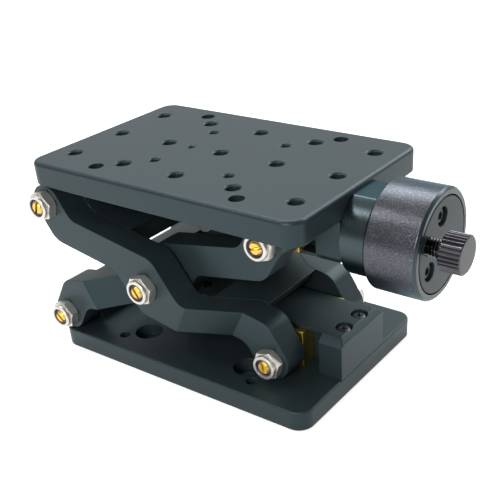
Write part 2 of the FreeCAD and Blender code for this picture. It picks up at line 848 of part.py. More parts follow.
def build():
    low = (left_pivot, pivot_low, outer_lane)
    high = (left_pivot, pivot_high, outer_lane)
    middle = (centre_x, centre_z, outer_lane)
    slide_low = (right_pivot, pivot_low, inner_lane)
    slide_high = (right_pivot, pivot_high, inner_lane)
    parts = {
        "base_plate": base_plate(),
        "lower_guide": lower_guide(),
        "lower_guide_screws": guide_screws(lower_guide_screw_pitch),
        "lower_hinge_block": hinge_block(),
        "lower_hinge_screws": hinge_screws(),
        "lower_left_studs": pivot_studs(*low, hinge_stud_end, slot_turn_lower_left),
        "lower_left_nuts": pivot_nuts(*low),
        "lower_left_nut_inserts": nut_inserts(*low),
        "lower_left_washers": thrust_washers(*low),
        "inner_arm_front": inner_arm(),
        "inner_arm_rear": mirrored_y(inner_arm()),
        "inner_bridge_left": bridge(inner_joggle(), False, -1),
        "inner_bridge_right": bridge(inner_joggle(), False, 1),
        "inner_arm_bushes": inner_bushes(),
        "centre_studs": centre_studs(),
        "centre_nuts": pivot_nuts(*middle),
        "centre_nut_inserts": nut_inserts(*middle),
        "centre_washers": thrust_washers(*middle),
        "outer_arm_front": outer_arm(),
        "outer_arm_rear": mirrored_y(outer_arm()),
        "outer_bridge_left": outer_left_bridge(),
        "outer_bridge_right": bridge(outer_joggle(), True, 1),
        "outer_arm_bushes": outer_bushes(),
        "lower_slider_front": lower_slider(),
        "lower_slider_rear": mirrored_y(lower_slider()),
        "lower_right_studs": pivot_studs(*slide_low, slider_stud_end(), slot_turn_lower_right),
        "lower_right_nuts": pivot_nuts(*slide_low),
        "lower_right_nut_inserts": nut_inserts(*slide_low),
        "lower_right_washers": thrust_washers(*slide_low),
        "upper_slider_front": slider(pivot_high),
        "upper_slider_rear": mirrored_y(slider(pivot_high)),
        "lead_nut": lead_nut(),
        "upper_right_studs": pivot_studs(*slide_high, nut_stud_end(), slot_turn_upper_right),
        "upper_right_nuts": pivot_nuts(*slide_high),
        "upper_right_nut_inserts": nut_inserts(*slide_high),
        "upper_right_washers": thrust_washers(*slide_high),
        "top_plate": top_plate(),
        "upper_guide": upper_guide(),
        "upper_guide_screws": to_upper_side(guide_screws(upper_guide_screw_pitch)),
        "upper_hinge_block": to_upper_side(hinge_block()),
        "upper_hinge_screws": to_upper_side(hinge_screws()),
        "upper_left_studs": pivot_studs(*high, hinge_stud_end, slot_turn_upper_left),
        "upper_left_nuts": pivot_nuts(*high),
        "upper_left_nut_inserts": nut_inserts(*high),
        "upper_left_washers": thrust_washers(*high),
        "bearing_housing": bearing_housing(),
        "housing_screws": housing_screws(),
        "screw_bearings": screw_bearings(),
        "lead_screw": lead_screw(),
        "knob_body": knob_body(),
        "knob_disc": knob_disc(),
        "disc_screws": disc_screws(),
        "screw_end_nut": end_nut(),
        "lock_screw": lock_screw(),
    }
    os.makedirs("parts", exist_ok=True)
    for name, shape in parts.items():
        shape.exportStep(os.path.join("parts", name + ".step"))
    print(len(parts), "pieces written")


build()
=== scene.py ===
"""Dresses a packed manual lifting stage: finishes, threads, nuts, screws, floor, lamps and camera."""

import json
import math

import bpy
from bpy.props import FloatProperty, FloatVectorProperty, IntProperty, PointerProperty
from mathutils import Matrix, Vector

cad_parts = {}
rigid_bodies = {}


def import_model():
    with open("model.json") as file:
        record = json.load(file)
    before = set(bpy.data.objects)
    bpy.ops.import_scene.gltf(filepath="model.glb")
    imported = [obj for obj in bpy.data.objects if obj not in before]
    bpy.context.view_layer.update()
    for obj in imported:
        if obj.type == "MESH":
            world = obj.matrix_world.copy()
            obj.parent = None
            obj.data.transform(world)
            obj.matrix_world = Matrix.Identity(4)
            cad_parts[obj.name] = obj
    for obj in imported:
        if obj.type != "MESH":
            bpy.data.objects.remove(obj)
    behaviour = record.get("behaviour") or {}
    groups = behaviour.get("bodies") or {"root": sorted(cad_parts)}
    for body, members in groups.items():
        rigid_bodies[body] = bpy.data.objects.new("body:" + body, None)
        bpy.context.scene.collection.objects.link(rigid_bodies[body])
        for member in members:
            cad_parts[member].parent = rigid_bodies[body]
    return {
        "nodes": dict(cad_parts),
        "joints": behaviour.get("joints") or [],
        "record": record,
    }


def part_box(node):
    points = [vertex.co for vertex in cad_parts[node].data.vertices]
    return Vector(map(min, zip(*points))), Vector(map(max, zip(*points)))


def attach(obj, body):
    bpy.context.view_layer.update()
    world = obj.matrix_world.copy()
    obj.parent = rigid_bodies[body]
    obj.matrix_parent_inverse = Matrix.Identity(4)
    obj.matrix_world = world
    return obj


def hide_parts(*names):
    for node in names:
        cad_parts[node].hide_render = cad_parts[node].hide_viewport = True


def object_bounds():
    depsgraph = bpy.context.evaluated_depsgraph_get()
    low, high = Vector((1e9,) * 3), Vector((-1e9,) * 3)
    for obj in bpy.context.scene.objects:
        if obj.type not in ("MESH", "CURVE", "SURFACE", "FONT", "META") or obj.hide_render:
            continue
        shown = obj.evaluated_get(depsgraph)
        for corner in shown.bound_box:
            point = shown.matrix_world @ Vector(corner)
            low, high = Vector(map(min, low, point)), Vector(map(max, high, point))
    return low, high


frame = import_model()

bl_info = {
    "name": "Lifting stage dressing",
    "version": (1, 0, 0),
    "blender": (4, 5, 0),
    "location": "View3D > Sidebar > Stage",
    "description": "Finishes and fine detail for a manual lifting stage",
    "category": "Object",
}

MM = 0.001
CAD_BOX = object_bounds()
JOINT_PLACE = {joint["name"]: Vector(joint["pos_m"]) for joint in frame["joints"]}
SCREW_AXIS = JOINT_PLACE["knob_turn"]
LOCK_AXIS = JOINT_PLACE["lock_turn"]
TOP_LOW, TOP_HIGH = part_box("top_plate")
KNOB_LOW, KNOB_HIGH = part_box("knob_body")
LOCK_LOW, LOCK_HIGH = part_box("lock_screw")
SCREW_LOW, SCREW_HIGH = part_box("lead_screw")
HOUSING_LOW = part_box("bearing_housing")[0]
NUT_LOW, NUT_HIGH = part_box("centre_nuts")
INSERT_LOW, INSERT_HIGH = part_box("centre_nut_inserts")
WHITE = (1.0, 1.0, 1.0, 1.0)

# Pivot lines, each with nuts, locking rings and studs at both ends
PIVOTS = ["lower_left", "upper_left", "centre", "lower_right", "upper_right"]

# Nodes whose machined edges are rounded off
SOFT_EDGED = [
    "base_plate", "lower_guide", "lower_hinge_block", "inner_arm_front", "inner_arm_rear", "outer_arm_front",
    "outer_arm_rear", "inner_bridge_left", "inner_bridge_right", "outer_bridge_left", "outer_bridge_right",
    "top_plate", "upper_guide", "upper_hinge_block", "lower_slider_front", "lower_slider_rear",
    "upper_slider_front", "upper_slider_rear", "knob_body", "knob_disc", "bearing_housing",
]


def length(name, millimetres, text):
    """A length that a user would change, given here in millimetres."""
    return FloatProperty(name=name, description=text, default=millimetres * MM, min=0.0, unit="LENGTH",
                         precision=5)


def colour(name, red, green, blue, text):
    """A colour that a user would change, in linear light."""
    return FloatVectorProperty(name=name, description=text, default=(red, green, blue), size=3, min=0.0,
                               max=1.0, subtype="COLOR")


class StageSizes(bpy.types.PropertyGroup):
    """Sizes of the fine detail."""

    edge_break: length("Edge break", 0.2, "Width of the small rounding on machined edges")
    disc_break: length("Disc edge break", 0.34, "Width of the rounding on the disc in the knob's face")
    nut_hexagon: length("Nut hexagon", 3.7, "Height of the nut's six-sided part")
    nut_collar: length("Nut collar", 1.5, "Height of the nut's round collar")
    collar_radius: length("Collar radius", 4.65, "Radius of the nut's round collar")
    nut_lip: length("Nut lip", 3.45, "Inner radius of the lip that holds the nut's locking ring")
    nut_edge: length("Nut edge", 0.07, "Width of the rounding on the nut's edges")
    stud_face: length("Stud face", 2.0, "Radius of the flat end of a pivot's stud")
    stud_slope: length("Stud slope", 1.1, "Width of the chamfer on a stud's end")
    nut_crown: length("Nut crown", 0.85, "Depth of the turned chamfer on the nut's corners")
    collar_edge: length("Collar edge", 0.45, "Rounding of the nut's collar")
    grid_pitch: length("Grid pitch", 25.0, "Spacing of the platform's M6 holes")
    grid_drill: length("Grid drill", 5.2, "Drill size of the platform's M6 holes")
    square_pitch: length("Square pitch", 34.0, "Spacing of the platform's M4 holes")
    square_drill: length("Square drill", 3.5, "Drill size of the platform's M4 holes")
    coarse_pitch: length("M6 pitch", 1.0, "Thread pitch of M6 holes and of the lock screw")
    small_pitch: length("M4 pitch", 0.7, "Thread pitch of M4 holes")
    thread_depth: length("Thread depth", 0.24, "Depth to which a hole's thread stands in")
    lead: length("Lead", 2.0, "Lead of the lead screw")
    lead_depth: length("Lead thread depth", 0.9, "Depth of the lead screw's thread")
    journal_radius: length("Journal radius", 3.0, "Radius of the lead screw's plain end")
    journal_length: length("Journal length", 8.0, "Length of the lead screw's plain end")
    lock_stud: length("Lock stud", 3.0, "Radius of the lock screw's thread")
    lock_head: length("Lock head", 7.4, "Height of the lock screw's head")
    head_flutes: IntProperty(name="Head flutes", description="Flutes round the lock screw's head", default=30,
                             min=6)
    flute_depth: length("Flute depth", 0.36, "Depth of those flutes")
    disc_screw_circle: length("Disc screw circle", 20.6, "Diameter on which the disc's screws sit")
    small_head: length("M3 head", 2.75, "Radius of an M3 screw's head")
    small_shank: length("M3 shank", 1.5, "Radius of an M3 screw's shank")
    large_head: length("M4 head", 3.5, "Radius of an M4 screw's head")
    large_shank: length("M4 shank", 2.0, "Radius of an M4 screw's shank")


class StageColours(bpy.types.PropertyGroup):
    """Colours of the finishes."""

    anodised: colour("Anodised", 0.016, 0.023, 0.026, "Satin black anodising")
    blasted: colour("Blasted", 0.088, 0.092, 0.106, "Blasted and anodised knob")
    blasted_speck: colour("Blasted speck", 0.55, 0.53, 0.60, "Bright specks on the blasted knob")
    housing: colour("Housing", 0.063, 0.083, 0.090, "Turned bearing housing")
    nickel: colour("Nickel", 0.72, 0.69, 0.635, "Nickel plate")
    nylon: colour("Nylon", 0.012, 0.011, 0.058, "Locking rings")
    brass: colour("Brass", 0.86, 0.60, 0.13, "Studs, sliders and lead nut")
    bronze: colour("Bronze", 0.52, 0.33, 0.15, "Bushes and washers")
    black_oxide: colour("Black oxide", 0.016, 0.018, 0.021, "Screws")
    black_gloss: colour("Black gloss", 0.085, 0.082, 0.094, "Thumb screw")
    steel: colour("Steel", 0.50, 0.50, 0.49, "Lead screw and bearings")
    floor: colour("Floor", 0.60, 0.60, 0.60, "Floor")


def sizes():
    return bpy.context.scene.stage_sizes


def colours():
    return bpy.context.scene.stage_colours


class Signal:
    """A value in a node tree: arithmetic on it adds Math nodes."""

    def __init__(self, network, socket):
        self.network = network
        self.socket = socket

    def math(self, operation, *values, clamp=False):
        settings = {"operation": operation, "use_clamp": clamp}
        return self.network.output("ShaderNodeMath", "Value", settings, dict(enumerate(values)))

    def __add__(self, other):
        return self.math("ADD", self, other)

    def __radd__(self, other):
        return self.math("ADD", other, self)

    def __sub__(self, other):
        return self.math("SUBTRACT", self, other)

    def __rsub__(self, other):
        return self.math("SUBTRACT", other, self)

    def __mul__(self, other):
        return self.math("MULTIPLY", self, other)

    def __rmul__(self, other):
        return self.math("MULTIPLY", other, self)

    def __pow__(self, other):
        return self.math("POWER", self, other)

    def __rpow__(self, other):
        return self.math("POWER", other, self)

    def above(self, other):
        return self.math("GREATER_THAN", self, other)

    def clamped(self):
        return self.math("ADD", self, 0.0, clamp=True)


class Network:
    """Nodes under construction, in the tree of a material or of the world."""

    def __init__(self, owner):
        owner.use_nodes = True
        self.tree = owner.node_tree
        self.tree.nodes.clear()

    def node(self, kind, settings=None, inputs=None):
        """A node of a kind, with its settings and then the values or links of its sockets."""
        node = self.tree.nodes.new(kind)
        for name, value in (settings or {}).items():
            setattr(node, name, value)
        for key, value in (inputs or {}).items():
            if isinstance(value, Signal):
                self.tree.links.new(value.socket, node.inputs[key])
            else:
                node.inputs[key].default_value = value
        return node

    def output(self, kind, socket, settings=None, inputs=None):
        return Signal(self, self.node(kind, settings, inputs).outputs[socket])

    def seen_by(self, kind):
        """One for rays of a kind, such as Camera or Glossy, and zero for the others."""
        return self.output("ShaderNodeLightPath", "Is " + kind + " Ray")


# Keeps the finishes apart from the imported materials, some of which have the same names
FINISH_PREFIX = "finish_"


class Finish(Network):
    """A material under construction, on the piece's own coordinates."""

    def __init__(self, name):
        self.material = bpy.data.materials.new(FINISH_PREFIX + name)
        super().__init__(self.material)
        self.place = self.output("ShaderNodeTexCoord", "Object")

    def axes(self):
        node = self.node("ShaderNodeSeparateXYZ", None, {"Vector": self.place})
        return [Signal(self, socket) for socket in node.outputs]

    def about_screw(self):
        """Place along the lead screw's axis and distance from it."""
        x, y, z = self.axes()
        rise = z - SCREW_AXIS.z
        return x, (y * y + rise * rise) ** 0.5

    def noise(self, scale, detail=2.0, roughness=0.5, stretch=(1.0, 1.0, 1.0)):
        """Noise of about `scale` features per metre, from 0 to 1, stretched along the axes."""
        placed = self.output("ShaderNodeMapping", "Vector", None, {"Vector": self.place, "Scale": stretch})
        return self.output("ShaderNodeTexNoise", "Fac", None, {
            "Vector": placed, "Scale": scale, "Detail": detail, "Roughness": roughness})

    def blend(self, share, first, second):
        """Colour between two colours."""
        shades = [value if isinstance(value, Signal) else rgba(value) for value in (first, second)]
        node = self.node("ShaderNodeMix", {"data_type": "RGBA"}, {0: share, 6: shades[0], 7: shades[1]})
        return Signal(self, node.outputs[2])

    def vary(self, shade, share, low, high):
        """Colour between two depths of one shade, each a multiple of it."""
        return self.blend(share, darker(shade, low), darker(shade, high))

    def bump(self, height, strength, distance):
        return self.output("ShaderNodeBump", "Normal", None, {
            "Height": height, "Strength": strength, "Distance": distance})

    def metal(self, **inputs):
        """Ends the material in one Principled shader, with sockets named in words."""
        named = {key.replace("_", " ").title().replace("Ior", "IOR"): value for key, value in inputs.items()}
        shader = self.output("ShaderNodeBsdfPrincipled", "BSDF", None, named)
        self.node("ShaderNodeOutputMaterial", None, {"Surface": shader})
        return self.material


def rgba(shade):
    return (*shade, 1.0)


def darker(shade, share):
    return [channel * share for channel in shade]


# Tints of the gloss on dyed aluminium
SHEEN = (0.61, 0.915, 1.0)
BLASTED_SHEEN = (0.70, 0.92, 1.0)


def satin_anodised():
    """Machined, fine blasted and black anodised aluminium."""
    finish = Finish("satin_anodised")
    shade = colours().anodised
    cloud = finish.noise(60.0, detail=3.0)
    grain = finish.noise(2600.0, detail=3.0, roughness=0.7)
    tint = finish.vary(shade, cloud, 0.86, 1.16)
    tint = finish.blend(grain * 0.35, tint, darker(shade, 1.5))
    return finish.metal(
        base_color=tint,
        roughness=0.34 + cloud * 0.06 + grain * 0.06,
        specular_ior_level=0.46,
        specular_tint=rgba(SHEEN),
        normal=finish.bump(grain, strength=0.10, distance=0.04 * MM),
    )


def turned_anodised():
    """Black anodised surfaces turned about the screw's axis, with feed marks; the housing is brighter."""
    finish = Finish("turned_anodised")
    shade = colours().anodised
    x, radius = finish.about_screw()
    bright = (KNOB_LOW.x - x).above(0.0)
    rings = finish.output("ShaderNodeTexNoise", "Fac", {"noise_dimensions": "2D"}, {
        "Vector": finish.output("ShaderNodeCombineXYZ", "Vector", None, {"X": radius, "Y": x}),
        "Scale": 5200.0, "Detail": 2.0, "Roughness": 0.6})
    cloud = finish.noise(70.0, detail=3.0)
    tint = finish.vary(shade, cloud, 0.88, 1.14)
    tint = finish.blend(rings * 0.35, tint, darker(shade, 1.45))
    return finish.metal(
        base_color=finish.blend(bright, tint, colours().housing),
        metallic=bright,
        roughness=0.22 + rings * 0.09 + cloud * 0.04,
        specular_ior_level=0.20,
        specular_tint=rgba(SHEEN),
        normal=finish.bump(rings, strength=0.16, distance=0.03 * MM),
    )


# Wall of the knob that the blasting covers, and the bare rim at its face
GRIP_DEPTH = 0.5 * MM
TURNED_RIM = 0.85 * MM

# Noise level at which a bright fleck starts, and how fast it turns bright
FLECK_START = 0.52
FLECK_SHARPNESS = 6.0


def blasted_anodised():
    """Coarsely blasted grip of the knob, with a turned rim at its face."""
    finish = Finish("blasted_anodised")
    shade = colours().blasted
    x, radius = finish.about_screw()
    rim = (KNOB_HIGH.z - KNOB_LOW.z) / 2
    grip = radius.above(rim - GRIP_DEPTH) * (KNOB_HIGH.x - TURNED_RIM - x).above(0.0)
    pits = finish.noise(1300.0, detail=3.0, roughness=0.7)
    specks = finish.noise(2600.0, roughness=0.6)
    cloud = finish.noise(90.0)
    fleck = ((specks - FLECK_START) * FLECK_SHARPNESS).clamped()
    tint = finish.vary(shade, cloud, 0.85, 1.15)
    tint = finish.blend(fleck * grip * 0.26, tint, colours().blasted_speck)
    tint = finish.blend(1.0 - grip, tint, colours().anodised)
    return finish.metal(
        base_color=tint,
        metallic=grip,
        roughness=0.25 + grip * (pits * 0.10),
        specular_ior_level=0.75,
        specular_tint=rgba(BLASTED_SHEEN),
        normal=finish.bump(pits * grip, strength=1.0, distance=0.07 * MM),
    )


def nickel_plate():
    """Bright nickel with faint drawn lines and dull spots."""
    finish = Finish("nickel_plate")
    shade = colours().nickel
    spots = finish.noise(900.0, detail=3.0, roughness=0.6)
    lines = finish.noise(700.0, roughness=0.6, stretch=(1.0, 9.0, 1.0))
    tint = finish.vary(shade, spots, 0.86, 1.08)
    return finish.metal(
        base_color=tint,
        metallic=0.84,
        roughness=0.22 + spots * 0.14 + lines * 0.06,
        normal=finish.bump(lines, strength=0.08, distance=0.03 * MM),
    )


def nylon():
    """Dark blue locking ring."""
    finish = Finish("nylon")
    shade = colours().nylon
    mottle = finish.noise(1400.0)
    return finish.metal(
        base_color=finish.vary(shade, mottle, 0.75, 1.25),
        roughness=0.42 + mottle * 0.12,
        normal=finish.bump(mottle, strength=0.10, distance=0.05 * MM),
    )


def machined_brass():
    """Yellow brass with a sawn and faced grain."""
    finish = Finish("machined_brass")
    shade = colours().brass
    cloud = finish.noise(260.0, detail=3.0)
    lines = finish.noise(900.0, roughness=0.6, stretch=(8.0, 1.0, 1.0))
    tint = finish.vary(shade, cloud, 0.82, 1.08)
    return finish.metal(
        base_color=tint,
        metallic=1.0,
        roughness=0.24 + cloud * 0.10 + lines * 0.08,
        normal=finish.bump(lines, strength=0.12, distance=0.03 * MM),
    )


def sintered_bronze():
    """Brown bronze, dotted with pores."""
    finish = Finish("sintered_bronze")
    shade = colours().bronze
    pores = finish.noise(3200.0, roughness=0.7)
    return finish.metal(
        base_color=finish.vary(shade, pores, 0.55, 1.15),
        metallic=1.0,
        roughness=0.34 + pores * 0.16,
        normal=finish.bump(pores, strength=0.2, distance=0.03 * MM),
    )


def black_oxide():
    """Black screws, slightly glossier than the anodised parts."""
    finish = Finish("black_oxide")
    shade = colours().black_oxide
    film = finish.noise(1100.0, detail=3.0, roughness=0.6)
    return finish.metal(
        base_color=finish.vary(shade, film, 0.7, 1.5),
        roughness=0.28 + film * 0.12,
        specular_ior_level=0.6,
        normal=finish.bump(film, strength=0.08, distance=0.03 * MM),
    )


def ground_steel():
    """Bare ground steel with lengthwise grinding lines."""
    finish = Finish("ground_steel")
    shade = colours().steel
    lines = finish.noise(800.0, detail=3.0, roughness=0.6, stretch=(0.3, 6.0, 6.0))
    return finish.metal(
        base_color=finish.vary(shade, lines, 0.78, 1.12),
        metallic=1.0,
        roughness=0.22 + lines * 0.14,
        normal=finish.bump(lines, strength=0.10, distance=0.03 * MM),
    )


# Depth over which the thumb screw's end counts as its face
END_FACE = 0.06 * MM


def black_gloss():
    """Black oxidised thumb screw: glossy flutes and a satin end face."""
    finish = Finish("black_gloss")
    shade = colours().black_gloss
    x = finish.axes()[0]
    film = finish.noise(900.0, detail=3.0, roughness=0.6)
    end = x.above(LOCK_HIGH.x - END_FACE)
    tint = finish.vary(shade, film, 0.8, 1.4)
    return finish.metal(
        base_color=finish.blend(end, tint, colours().anodised),
        metallic=1.0 - end,
        roughness=0.08 + film * 0.05 + end * 0.20,
        specular_ior_level=0.42,
        normal=finish.bump(film, strength=0.06, distance=0.03 * MM),
    )


FINISHES = {
    "satin_anodised": satin_anodised, "turned_anodised": turned_anodised,
    "blasted_anodised": blasted_anodised, "nickel_plate": nickel_plate, "nylon": nylon,
    "machined_brass": machined_brass, "sintered_bronze": sintered_bronze, "black_oxide": black_oxide,
    "ground_steel": ground_steel, "black_gloss": black_gloss,
}


def finish_named(name):
    return bpy.data.materials.get(FINISH_PREFIX + name) or FINISHES[name]()


def finish_of(node):
    """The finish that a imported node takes."""
    if node.endswith("_inserts"):
        return "nylon"
    if node.endswith("_nuts"):
        return "nickel_plate"
    if node.endswith("_studs") or "slider" in node or node == "lead_nut":
        return "machined_brass"
    if node.endswith(("_bushes", "_washers")):
        return "sintered_bronze"
    if node.endswith("_screws") or node in ("lock_screw", "screw_end_nut"):
        return "black_oxide"
    if node in ("lead_screw", "screw_bearings"):
        return "ground_steel"
    if node == "knob_body":
        return "blasted_anodised"
    if node in ("knob_disc", "bearing_housing"):
        return "turned_anodised"
    return "satin_anodised"


def slot_of(node):
    for part in frame["record"]["subparts"]:
        if part["node"] == node:
            return part["material_slot"]
    raise ValueError("no material slot for " + node)


def body_of(node):
    for body, nodes in frame["record"]["behaviour"]["bodies"].items():
        if node in nodes:
            return body
    raise ValueError("no body holds " + node)


def deselect_all():
    for item in bpy.context.view_layer.objects:
        item.select_set(False)


def make_active(piece):
    deselect_all()
    piece.select_set(True)
    bpy.context.view_layer.objects.active = piece


def start_editing(piece):
    make_active(piece)
    bpy.ops.object.mode_set(mode="EDIT")
    bpy.ops.mesh.select_all(action="DESELECT")


def stop_editing():
    bpy.ops.object.mode_set(mode="OBJECT")


def edit_where(piece, test):
    """Start editing a piece with only those vertices selected whose place passes the test."""
    start_editing(piece)
    stop_editing()
    for vertex in piece.data.vertices:
        vertex.select = test(vertex.co)
    bpy.ops.object.mode_set(mode="EDIT")


def apply_modifier(piece, kind, **settings):
    make_active(piece)
    modifier = piece.modifiers.new(kind.title(), kind)
    for name, value in settings.items():
        setattr(modifier, name, value)
    bpy.ops.object.modifier_apply(modifier=modifier.name)


def settle(piece):
    """Move the object's place into its mesh."""
    make_active(piece)
    bpy.ops.object.transform_apply(location=True, rotation=True, scale=True)


def remove_piece(piece):
    bpy.data.objects.remove(piece, do_unlink=True)


# Distances within which points are one: at a new piece's seam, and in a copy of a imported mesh
CLOSED_SEAM = 0.0001 * MM
PACKED_SEAM = 0.002 * MM


def turned(name, profile, segments, capped=True):
    """A turned shape about Z, drawn out ring by ring along a profile of (radius, height).

    A profile that comes back to its first point makes a ring; another is closed by a flat at each end.
    """
    deselect_all()
    radius, height = profile[0]
    bpy.ops.mesh.primitive_circle_add(vertices=segments, radius=radius, location=(0, 0, height))
    piece = bpy.context.object
    piece.name = name
    settle(piece)
    bpy.ops.object.mode_set(mode="EDIT")
    bpy.ops.mesh.select_all(action="SELECT")
    if capped:
        bpy.ops.mesh.edge_face_add()
    for next_radius, next_height in profile[1:]:
        rise = {"value": (0, 0, next_height - height)}
        if capped:
            bpy.ops.mesh.extrude_region_move(TRANSFORM_OT_translate=rise)
        else:
            bpy.ops.mesh.extrude_edges_move(TRANSFORM_OT_translate=rise)
        share = next_radius / radius
        bpy.ops.transform.resize(value=(share, share, 1), center_override=(0, 0, next_height))
        radius, height = next_radius, next_height
    bpy.ops.mesh.select_all(action="SELECT")
    bpy.ops.mesh.remove_doubles(threshold=CLOSED_SEAM)
    bpy.ops.mesh.normals_make_consistent(inside=False)
    stop_editing()
    return piece


def rounded_rim(radius, height, edge, steps=4):
    """Profile points of a quarter round that turns inwards at the top of a turned shape."""
    points = []
    for step in range(steps + 1):
        turn = math.pi / 2 * step / steps
        points.append((radius - edge + edge * math.cos(turn), height - edge + edge * math.sin(turn)))
    return points


# How far a cutting tool stands out of what it cuts
CUT_PAST = 1.0 * MM


def boolean(piece, tool, operation):
    apply_modifier(piece, "BOOLEAN", operation=operation, object=tool, solver="EXACT")
    remove_piece(tool)


def prism_tool(sides, radius, low, high, turn=0.0):
    """A cylinder or a prism about Z, to cut with."""
    deselect_all()
    bpy.ops.mesh.primitive_cylinder_add(vertices=sides, radius=radius, depth=high - low,
                                        location=(0, 0, (low + high) / 2), rotation=(0, 0, turn))
    tool = bpy.context.object
    settle(tool)
    return tool


def block_tool(width, depth, height):
    """A block about the origin, to cut with."""
    deselect_all()
    bpy.ops.mesh.primitive_cube_add(size=1.0, scale=(width, depth, height))
    tool = bpy.context.object
    settle(tool)
    return tool


def join(pieces, name):
    deselect_all()
    for piece in pieces:
        piece.select_set(True)
    bpy.context.view_layer.objects.active = pieces[0]
    bpy.ops.object.join()
    joined = bpy.context.view_layer.objects.active
    joined.name = name
    joined.data.name = name
    return joined


def smooth(piece, degrees=30.0):
    make_active(piece)
    bpy.ops.object.shade_smooth_by_angle(angle=math.radians(degrees))


def break_edges(piece, width, degrees=32.0):
    """Round off the sharp edges, and let the flats keep their flat shading."""
    apply_modifier(piece, "BEVEL", width=width, segments=2, limit_method="ANGLE",
                   angle_limit=math.radians(degrees), use_clamp_overlap=False, miter_outer="MITER_ARC")
    smooth(piece, degrees=50.0)
    apply_modifier(piece, "WEIGHTED_NORMAL", mode="FACE_AREA", weight=100, keep_sharp=True)


def facing(direction, place):
    """Placement that turns a shape drawn about Z to face a direction at a place."""
    turn = Vector((0, 0, 1)).rotation_difference(Vector(direction)).to_matrix().to_4x4()
    return Matrix.Translation(place) @ turn


def set_out(pattern, name, placements):
    """Copies of a piece at each placement, joined."""
    copies = []
    for placement in placements:
        twin = bpy.data.objects.new(name, pattern.data.copy())
        bpy.context.scene.collection.objects.link(twin)
        twin.data.transform(placement)
        copies.append(twin)
    return join(copies, name)


def dress(piece, finish, node=None, body=None, slot=None):
    """Give a new piece its finish and its body; its material slot is looked up but not given to it."""
    piece.data.materials.clear()
    piece.data.materials.append(finish_named(finish))
    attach(piece, body or body_of(node))
    if node:
        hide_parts(node)
    slot or slot_of(node)


def helix(root, crest, pitch, low, high, segments, base=0.86, top=0.2):
    """The ridge of a screw thread about Z, as a closed solid.

    Root and crest are radii; base and top are the ridge's widths there, as shares of the pitch.
    """
    deselect_all()
    start = low + base * pitch / 2
    bpy.ops.mesh.primitive_plane_add(size=1.0, location=((root + crest) / 2, 0, start),
                                     rotation=(math.pi / 2, 0, 0))
    piece = bpy.context.object
    piece.name = "ridge"
    piece.scale = (abs(crest - root), base * pitch, 1.0)
    settle(piece)
    edit_where(piece, lambda place: abs(place.x - crest) < CLOSED_SEAM)
    bpy.ops.transform.resize(value=(1, 1, top / base), center_override=(crest, 0, start))
    bpy.ops.mesh.select_all(action="SELECT")
    bpy.ops.mesh.delete(type="ONLY_FACE")
    stop_editing()
    turns = math.floor((high - low) / pitch - base)
    apply_modifier(piece, "SCREW", axis="Z", angle=2 * math.pi, screw_offset=pitch, iterations=turns,
                   steps=segments, render_steps=segments)
    start_editing(piece)
    bpy.ops.mesh.select_all(action="SELECT")
    bpy.ops.mesh.fill_holes(sides=4)
    bpy.ops.mesh.normals_make_consistent(inside=False)
    stop_editing()
    return piece


# Socket head screws: height of the head, width across the flats of the key and its depth
M3_SOCKET = {"head_height": 3.0 * MM, "key": 2.5 * MM, "key_depth": 1.4 * MM}
M4_SOCKET = {"head_height": 3.6 * MM, "key": 3.0 * MM, "key_depth": 1.8 * MM}
SCREW_CHAMFER = 0.22 * MM

# Faces round a screw
SCREW_SIDES = 40


def cap_screw(head, shank, reach, head_height, key, key_depth):
    """Socket head screw about Z, its head's top at zero and its tip at -reach; head and shank are radii."""
    edge = SCREW_CHAMFER
    piece = turned("screw", [
        (shank - edge, -reach), (shank, -reach + edge), (shank, -head_height), (head - edge, -head_height),
        (head, -head_height + edge), (head, -2 * edge), (head - 2 * edge, 0)], SCREW_SIDES)
    mouth = turned("mouth", [(key / 2, -edge), (key / 2 + 3 * edge, 2 * edge)], SCREW_SIDES)
    boolean(piece, mouth, "DIFFERENCE")
    boolean(piece, prism_tool(6, key / math.sqrt(3), -key_depth, CUT_PAST), "DIFFERENCE")
    smooth(piece)
    return piece


class STAGE_OT_metalwork(bpy.types.Operator):
    """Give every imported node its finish"""

    bl_idname = "stage.metalwork"
    bl_label = "Metalwork"

    def execute(self, context):
        for name, item in frame["nodes"].items():
            material = finish_named(finish_of(name))
            for slot in item.material_slots:
                slot.material = material
            smooth(item)
        return {"FINISHED"}


def finished_copy(node):
    """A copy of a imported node, welded and with plain flats, to be worked further."""
    piece = frame["nodes"][node].copy()
    piece.data = piece.data.copy()
    piece.name = node + "_finished"
    bpy.context.scene.collection.objects.link(piece)
    start_editing(piece)
    bpy.ops.mesh.select_all(action="SELECT")
    bpy.ops.mesh.remove_doubles(threshold=PACKED_SEAM)
    bpy.ops.mesh.dissolve_limited(angle_limit=math.radians(1.0))
    stop_editing()
    return piece


class STAGE_OT_soft_edges(bpy.types.Operator):
    """Stand a copy with broken edges in for each machined plate, arm and block"""

    bl_idname = "stage.soft_edges"
    bl_label = "Soft edges"

    def execute(self, context):
        for node in SOFT_EDGED:
            piece = finished_copy(node)
            break_edges(piece, sizes().disc_break if node == "knob_disc" else sizes().edge_break)
            dress(piece, finish_of(node), node)
        return {"FINISHED"}


def pivot_ends(node):
    """Placements that face outwards at both ends of a pivot line, by the box of what sits there."""
    low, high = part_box(node)
    x, z = (low.x + high.x) / 2, (low.z + high.z) / 2
    return [facing((0, -1, 0), (x, low.y, z)), facing((0, 1, 0), (x, high.y, z))]


# Locking ring: its wall, its inner radius and the depth of its foot below the collar's top
RING_WALL = 0.95 * MM
RING_INNER = (INSERT_HIGH.z - INSERT_LOW.z) / 2 - RING_WALL
RING_FLOOR = 1.3 * MM

# Turn of the nuts about their pivots, and the slope of their turned corners
NUT_TURN = math.radians(45)
CROWN_SLOPE = math.radians(60)


